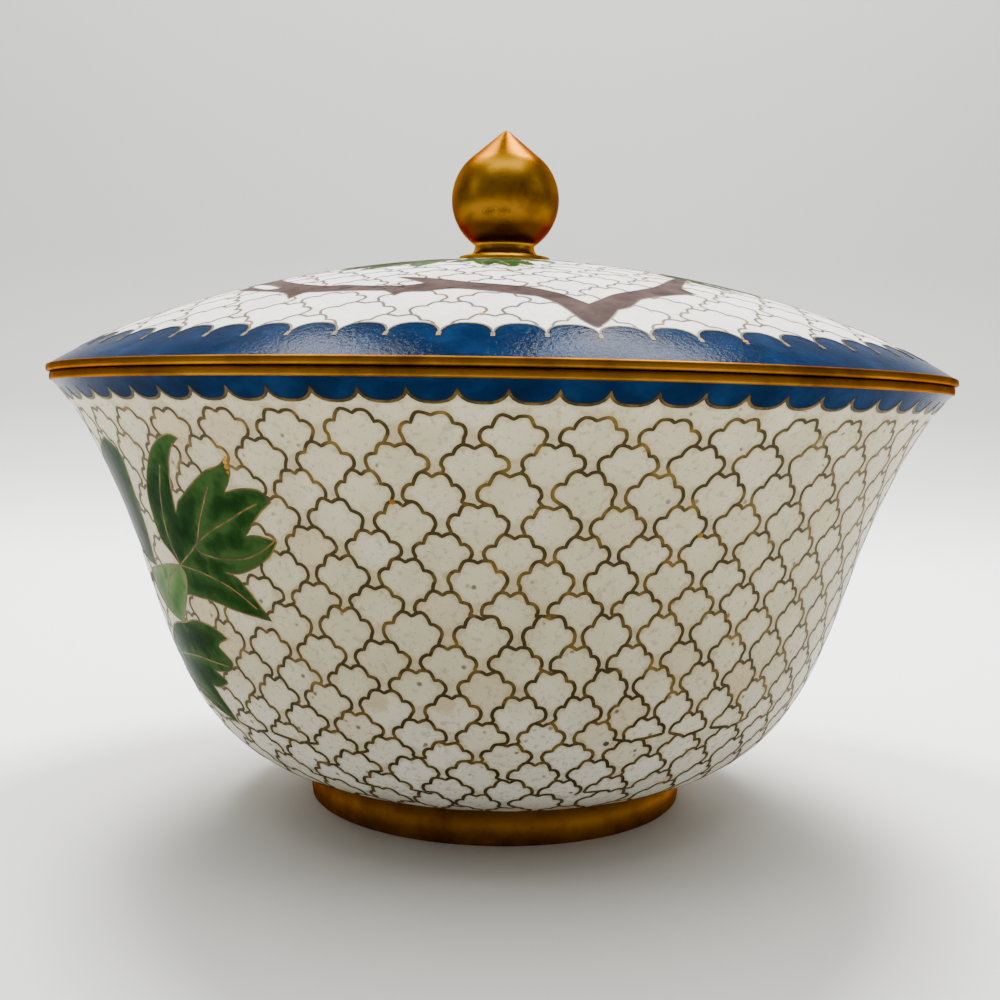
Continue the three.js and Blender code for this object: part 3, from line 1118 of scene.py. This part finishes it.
def build_lid_drawing():
    drawing = Drawing(LID)
    first = LID.from_photo([LID_BORDER_NOTCH])[0][0]
    notches = lay_border(drawing, LID_BORDER, first)
    drawing.region(BRANCH, through(LID.from_photo, LID_BRANCH_STROKES, LID_BRANCH_START)[:-1])
    lay_leaf(drawing, LID.from_photo, GROUND, LID_GAP_STROKES, ())
    for branch, widths in LID_BRANCHES:
        drawing.region(BRANCH, tapered(branch, widths, LID))
    for leaf in LID_LEAF_COPIES:
        lay_leaf(drawing, copied(LID, *leaf))
    places = first + np.arange(LID_COUNTS[0]) * FULL_TURN / LID_COUNTS[0]
    rows = [(LID_ROWS[0], places)]
    for index, (s, count) in enumerate(zip(LID_ROWS[1:], LID_COUNTS[1:])):
        lost = len(places) - count
        merges = [(i + MERGE_SHIFT * index) * FULL_TURN / lost for i in range(lost)]
        places = next_row(places, merges)
        rows.append((s, places))
    lay_scales(drawing, rows[::-1], notches - (0, LANDING_LIFT), random.Random(4))
    return drawing


# The metal pieces: their fineness, the gap between the two bands, and how far in from the edge the lid's
# band comes down to the bowl's
BAND_STEPS = 6
TIP_STEPS = 6
BALL_STEPS = 40
COVE_POINTS = 10
BAND_GAP = 0.1
BAND_SEAT = (1.8, 1.75)


def band_edge(radius, bottom, top):
    low = arc((radius - BAND_ROUNDING, bottom + BAND_ROUNDING), BAND_ROUNDING, -math.pi / 2, 0, BAND_STEPS)
    high = arc((radius - BAND_ROUNDING, top - BAND_ROUNDING), BAND_ROUNDING, 0, math.pi / 2, BAND_STEPS)
    return np.vstack((low, high))


def make_metal():
    gilt = brass("gilt_band", ((0.25, 0.108, 0.010), (0.18, 0.075, 0.007), (0.10, 0.038, 0.005)),
                 (90, 0.35, 0.6), 0.36, 0.02)
    amber = brass("foot_metal", ((0.42, 0.18, 0.012), (0.32, 0.13, 0.008), (0.22, 0.08, 0.006)),
                  (110, 0.4, 0.65), 0.45, 0.03)
    knob = brass("knob_metal", ((0.56, 0.27, 0.018), (0.42, 0.19, 0.01), (0.20, 0.075, 0.008)),
                 (130, 0.30, 0.5), 0.27, 0.02,
                 ((0.045, 0.016, 0.002), KNOB_SEAT + 2.7, KNOB_SEAT + 6, KNOB_SEAT + 13),
                 # painted shade over the knob's top, fading in upwards
                 ((0.100, 0.054, 0.003), KNOB_SEAT + 10.5, KNOB_SEAT + 14.5))
    bowl_band = [(MOUTH_RADIUS, BOWL_TOP), *band_edge(RIM_RADIUS, BOWL_TOP, RIM_HEIGHT),
                 (MOUTH_RADIUS, RIM_HEIGHT)]
    flange_inside = FLANGE_RADIUS - FLANGE_WALL
    lid_band = [(flange_inside, FLANGE_BOTTOM), (FLANGE_RADIUS, FLANGE_BOTTOM), (FLANGE_RADIUS, RIM_HEIGHT),
                (LID_RADIUS - BAND_SEAT[0], RIM_HEIGHT), (LID_RADIUS - BAND_SEAT[1], RIM_HEIGHT + BAND_GAP),
                *band_edge(LID_RADIUS, RIM_HEIGHT + BAND_GAP, LID_FOOT), (flange_inside, LID_FOOT)]
    foot = [(FOOT_BOTTOM_RADIUS - FOOT_WALL, 0), (FOOT_BOTTOM_RADIUS - FOOT_EDGE, 0),
            (FOOT_BOTTOM_RADIUS, FOOT_EDGE), (FOOT_TOP_RADIUS, FOOT_HEIGHT),
            (FOOT_TOP_RADIUS - FOOT_WALL, FOOT_HEIGHT)]
    for name, node, profile, count, material, slot in (
            ("bowl_gilt_band", "bowl_rim", bowl_band, RING_POINTS, gilt, "gilt_brass"),
            ("lid_gilt_band", "lid_rim", lid_band, RING_POINTS, gilt, "gilt_brass"),
            ("foot_band", "foot_ring", foot, RING_POINTS // 2, amber, "foot_brass"),
            ("knob", "finial", knob_profile(), KNOB_POINTS, knob, "knob_brass")):
        new_piece(name, *spin(profile, count, name != "knob"), [material], slot, node)


def knob_profile():
    neck = (KNOB_NECK_RADIUS, KNOB_SEAT + KNOB_NECK_HEIGHT)
    edge = (KNOB_BASE_RADIUS, KNOB_SEAT + KNOB_BASE_EDGE)
    t = np.linspace(0, 1, COVE_POINTS)[:, None]
    cove = (1 - t) ** 2 * edge + 2 * t * (1 - t) * np.array((neck[0], edge[1])) + t ** 2 * np.array(neck)
    start = -math.acos(KNOB_NECK_RADIUS / KNOB_BALL_RADIUS)
    centre = neck[1] - KNOB_BALL_RADIUS * math.sin(start)
    lean = math.asin(KNOB_BALL_RADIUS / KNOB_POINT_HEIGHT)
    tip = centre + KNOB_POINT_HEIGHT * (1 - KNOB_TIP_RADIUS / KNOB_BALL_RADIUS)
    ball = arc((0, centre), KNOB_BALL_RADIUS, start, lean, BALL_STEPS)
    point = arc((0, tip), KNOB_TIP_RADIUS, lean, math.pi / 2, TIP_STEPS)
    point[-1, 0] = 0
    return [(0, KNOB_SEAT), (KNOB_BASE_RADIUS, KNOB_SEAT), *cove, *ball[1:], *point]


# The studio's paper, which bends up behind the bowl
STAGE_FRONT = -900
STAGE_BACK = 330
STAGE_TOP = 420
STAGE_WIDTH = 1600
STAGE_ROUND = 60
STAGE_STEPS = 8

# Its lamps, in metres and watts: place, aim, size and power
LAMPS = {
    "left_lamp": ((-0.19, 0.24, 0.56), (0, 0, 0.05), (0.14, 0.18), 6),
    "right_lamp": ((0.13, 0.24, 0.56), (0, 0, 0.05), (0.18, 0.18), 8.5),
    "left_side": ((-0.5, -0.16, 0.3), (0, 0, 0.08), (0.16, 0.3), 0.15),
    "right_side": ((0.5, -0.16, 0.3), (0, 0, 0.08), (0.16, 0.3), 0.15),
    "overhead": ((0, -0.12, 0.95), (0, 0, 0), (0.9, 0.6), 10)}


def make_floor():
    bend_start = STAGE_BACK - STAGE_ROUND
    line = [(STAGE_FRONT, 0), *arc((bend_start, STAGE_ROUND), STAGE_ROUND, -math.pi / 2, 0, STAGE_STEPS),
            (STAGE_BACK, STAGE_TOP)]
    points = [(side * STAGE_WIDTH / 2 * MM, y * MM, z * MM) for y, z in line for side in (-1, 1)]
    faces = [(2 * i, 2 * i + 1, 2 * i + 3, 2 * i + 2) for i in range(len(line) - 1)]
    mesh = bpy.data.meshes.new("studio")
    mesh.from_pydata(points, [], faces)
    mesh.shade_smooth()
    n = Nodes("studio_paper")
    # Painted shade and light: the one sheet is painted light on the floor and darker up the bend and the
    # wall, for less light up the wall and bounce light near the floor
    colour = n.ramp(n.mask(n.height(), 0, 0.12), (0.0, (0.86, 0.86, 0.845)), (0.25, (0.60, 0.60, 0.59)),
                    (1.0, (0.42, 0.42, 0.415)))
    mesh.materials.append(n.finish(colour, 0.7, 0.2))
    new_object("studio", mesh)


def make_light():
    world = bpy.data.worlds.new("studio")
    bpy.context.scene.world = world
    world.use_nodes = True
    background = world.node_tree.nodes["Background"]
    background.inputs["Color"].default_value = (0.72, 0.71, 0.68, 1)
    background.inputs["Strength"].default_value = 0.23
    for name, (place, aim, size, watts) in LAMPS.items():
        data = bpy.data.lights.new(name, "AREA")
        data.shape = "RECTANGLE"
        data.size, data.size_y = size
        data.energy = watts
        light = new_object(name, data)
        light.location = place
        light.rotation_euler = (Vector(aim) - Vector(place)).to_track_quat("-Z", "Y").to_euler()


make_camera()
make_floor()
make_light()
make_metal()
# The bowl's and the lid's white are one enamel given two colours: the lid's much lighter, as painted light
# for its brightly lit top, and the bowl's darker and warmer, partly its own tone and partly painted shade
# for its less lit side
bowl_white = white_enamel("bowl_white", ((0.43, 0.385, 0.25), (0.485, 0.445, 0.30), (0.54, 0.505, 0.37)),
                          1.0, BOWL, BOWL_STAINS, (0.80, 0.785, 0.70))
lid_white = white_enamel("lid_white", ((0.78, 0.77, 0.72), (0.84, 0.83, 0.79), (0.88, 0.88, 0.85)),
                         0.3, LID, LID_STAINS)

# The other glasses, in the order of their kinds
glass = [
    blue_enamel(),
    leaf_enamel("leaf_enamel", (0.030, 0.066, 0.016), (0.009, 0.032, 0.006), (0.003, 0.015, 0.002)),
    pitted_enamel("branch_enamel", 300, ((0.3, (0.040, 0.025, 0.022)), (0.5, (0.064, 0.042, 0.038)),
                                         (0.7, (0.09, 0.062, 0.055))),
                  (700, 0.64, 0.72), (0.015, 0.010, 0.010), 0.45, 0.002, 500),
    pitted_enamel("plain_enamel", 200, ((0.3, (0.05, 0.22, 0.27)), (0.55, (0.08, 0.30, 0.35)),
                                        (0.75, (0.12, 0.37, 0.40))),
                  (800, 0.68, 0.74), (0.02, 0.06, 0.07), 0.3, 0.5, 400),
    leaf_enamel("bud_enamel", (0.12, 0.18, 0.065), (0.08, 0.145, 0.045), (0.03, 0.08, 0.016)),
]
bowl_drawing = build_bowl_drawing()
lid_drawing = build_lid_drawing()
bowl_inside = np.vstack(((BOWL_RADIUS, BOWL_TOP), BOWL_INSIDE[::-1], (0, FOOT_HEIGHT + WALL)))
bowl_underside = ((0, FOOT_HEIGHT), (FOOT_TOP_RADIUS, FOOT_HEIGHT))
shell("bowl_enamel", bowl_drawing, (bowl_inside, bowl_underside), [bowl_white] + glass, "bowl_body")
lid_inside = np.vstack(((DOME_RADIUS, LID_FOOT), (DOME_INSIDE[0][0] - 1, LID_FOOT), DOME_INSIDE[2:],
                        (0, KNOB_SEAT - WALL)))
shell("lid_enamel", lid_drawing, (lid_inside,), [lid_white] + glass, "lid_shell")

# The wires' metals, and each kind's width and metal
metals = [
    wire_metal("tarnished_wire", (0.038, 0.027, 0.009), (0.155, 0.098, 0.022), 0.46, 0.72),
    wire_metal("gold_wire", (0.050, 0.032, 0.010), (0.15, 0.095, 0.022), 0.4, 0.6),
    wire_metal("solder", (0.20, 0.085, 0.008), (0.42, 0.21, 0.02), 0.4, 0.6),
]
BOWL_WIRE_LOOKS = {GROUND: (0.55, 0), BLUE: (0.48, 0), LEAF: (0.26, 1), BRANCH: (0.3, 1), BUD: (0.26, 1)}
LID_WIRE_LOOKS = {GROUND: (0.42, 0), BLUE: (0.38, 0), LEAF: (0.2, 1), BRANCH: (0.24, 0), PLAIN: (0.62, 1)}

# The bowl's wires are two pieces, to keep each one's triangles within bounds
UPPER_SHARE = 0.45
upper, lower = [], []
for kind, wire in bowl_drawing.wires:
    part = upper if wire[:, 1].mean() < UPPER_SHARE * BOWL.length else lower
    part.append((kind, wire))
ribbons("upper_bowl_wires", BOWL, upper, bowl_drawing.blobs, metals, BOWL_WIRE_LOOKS)
ribbons("lower_bowl_wires", BOWL, lower, (), metals, BOWL_WIRE_LOOKS)
ribbons("lid_wires", LID, lid_drawing.wires, lid_drawing.blobs, metals, LID_WIRE_LOOKS)
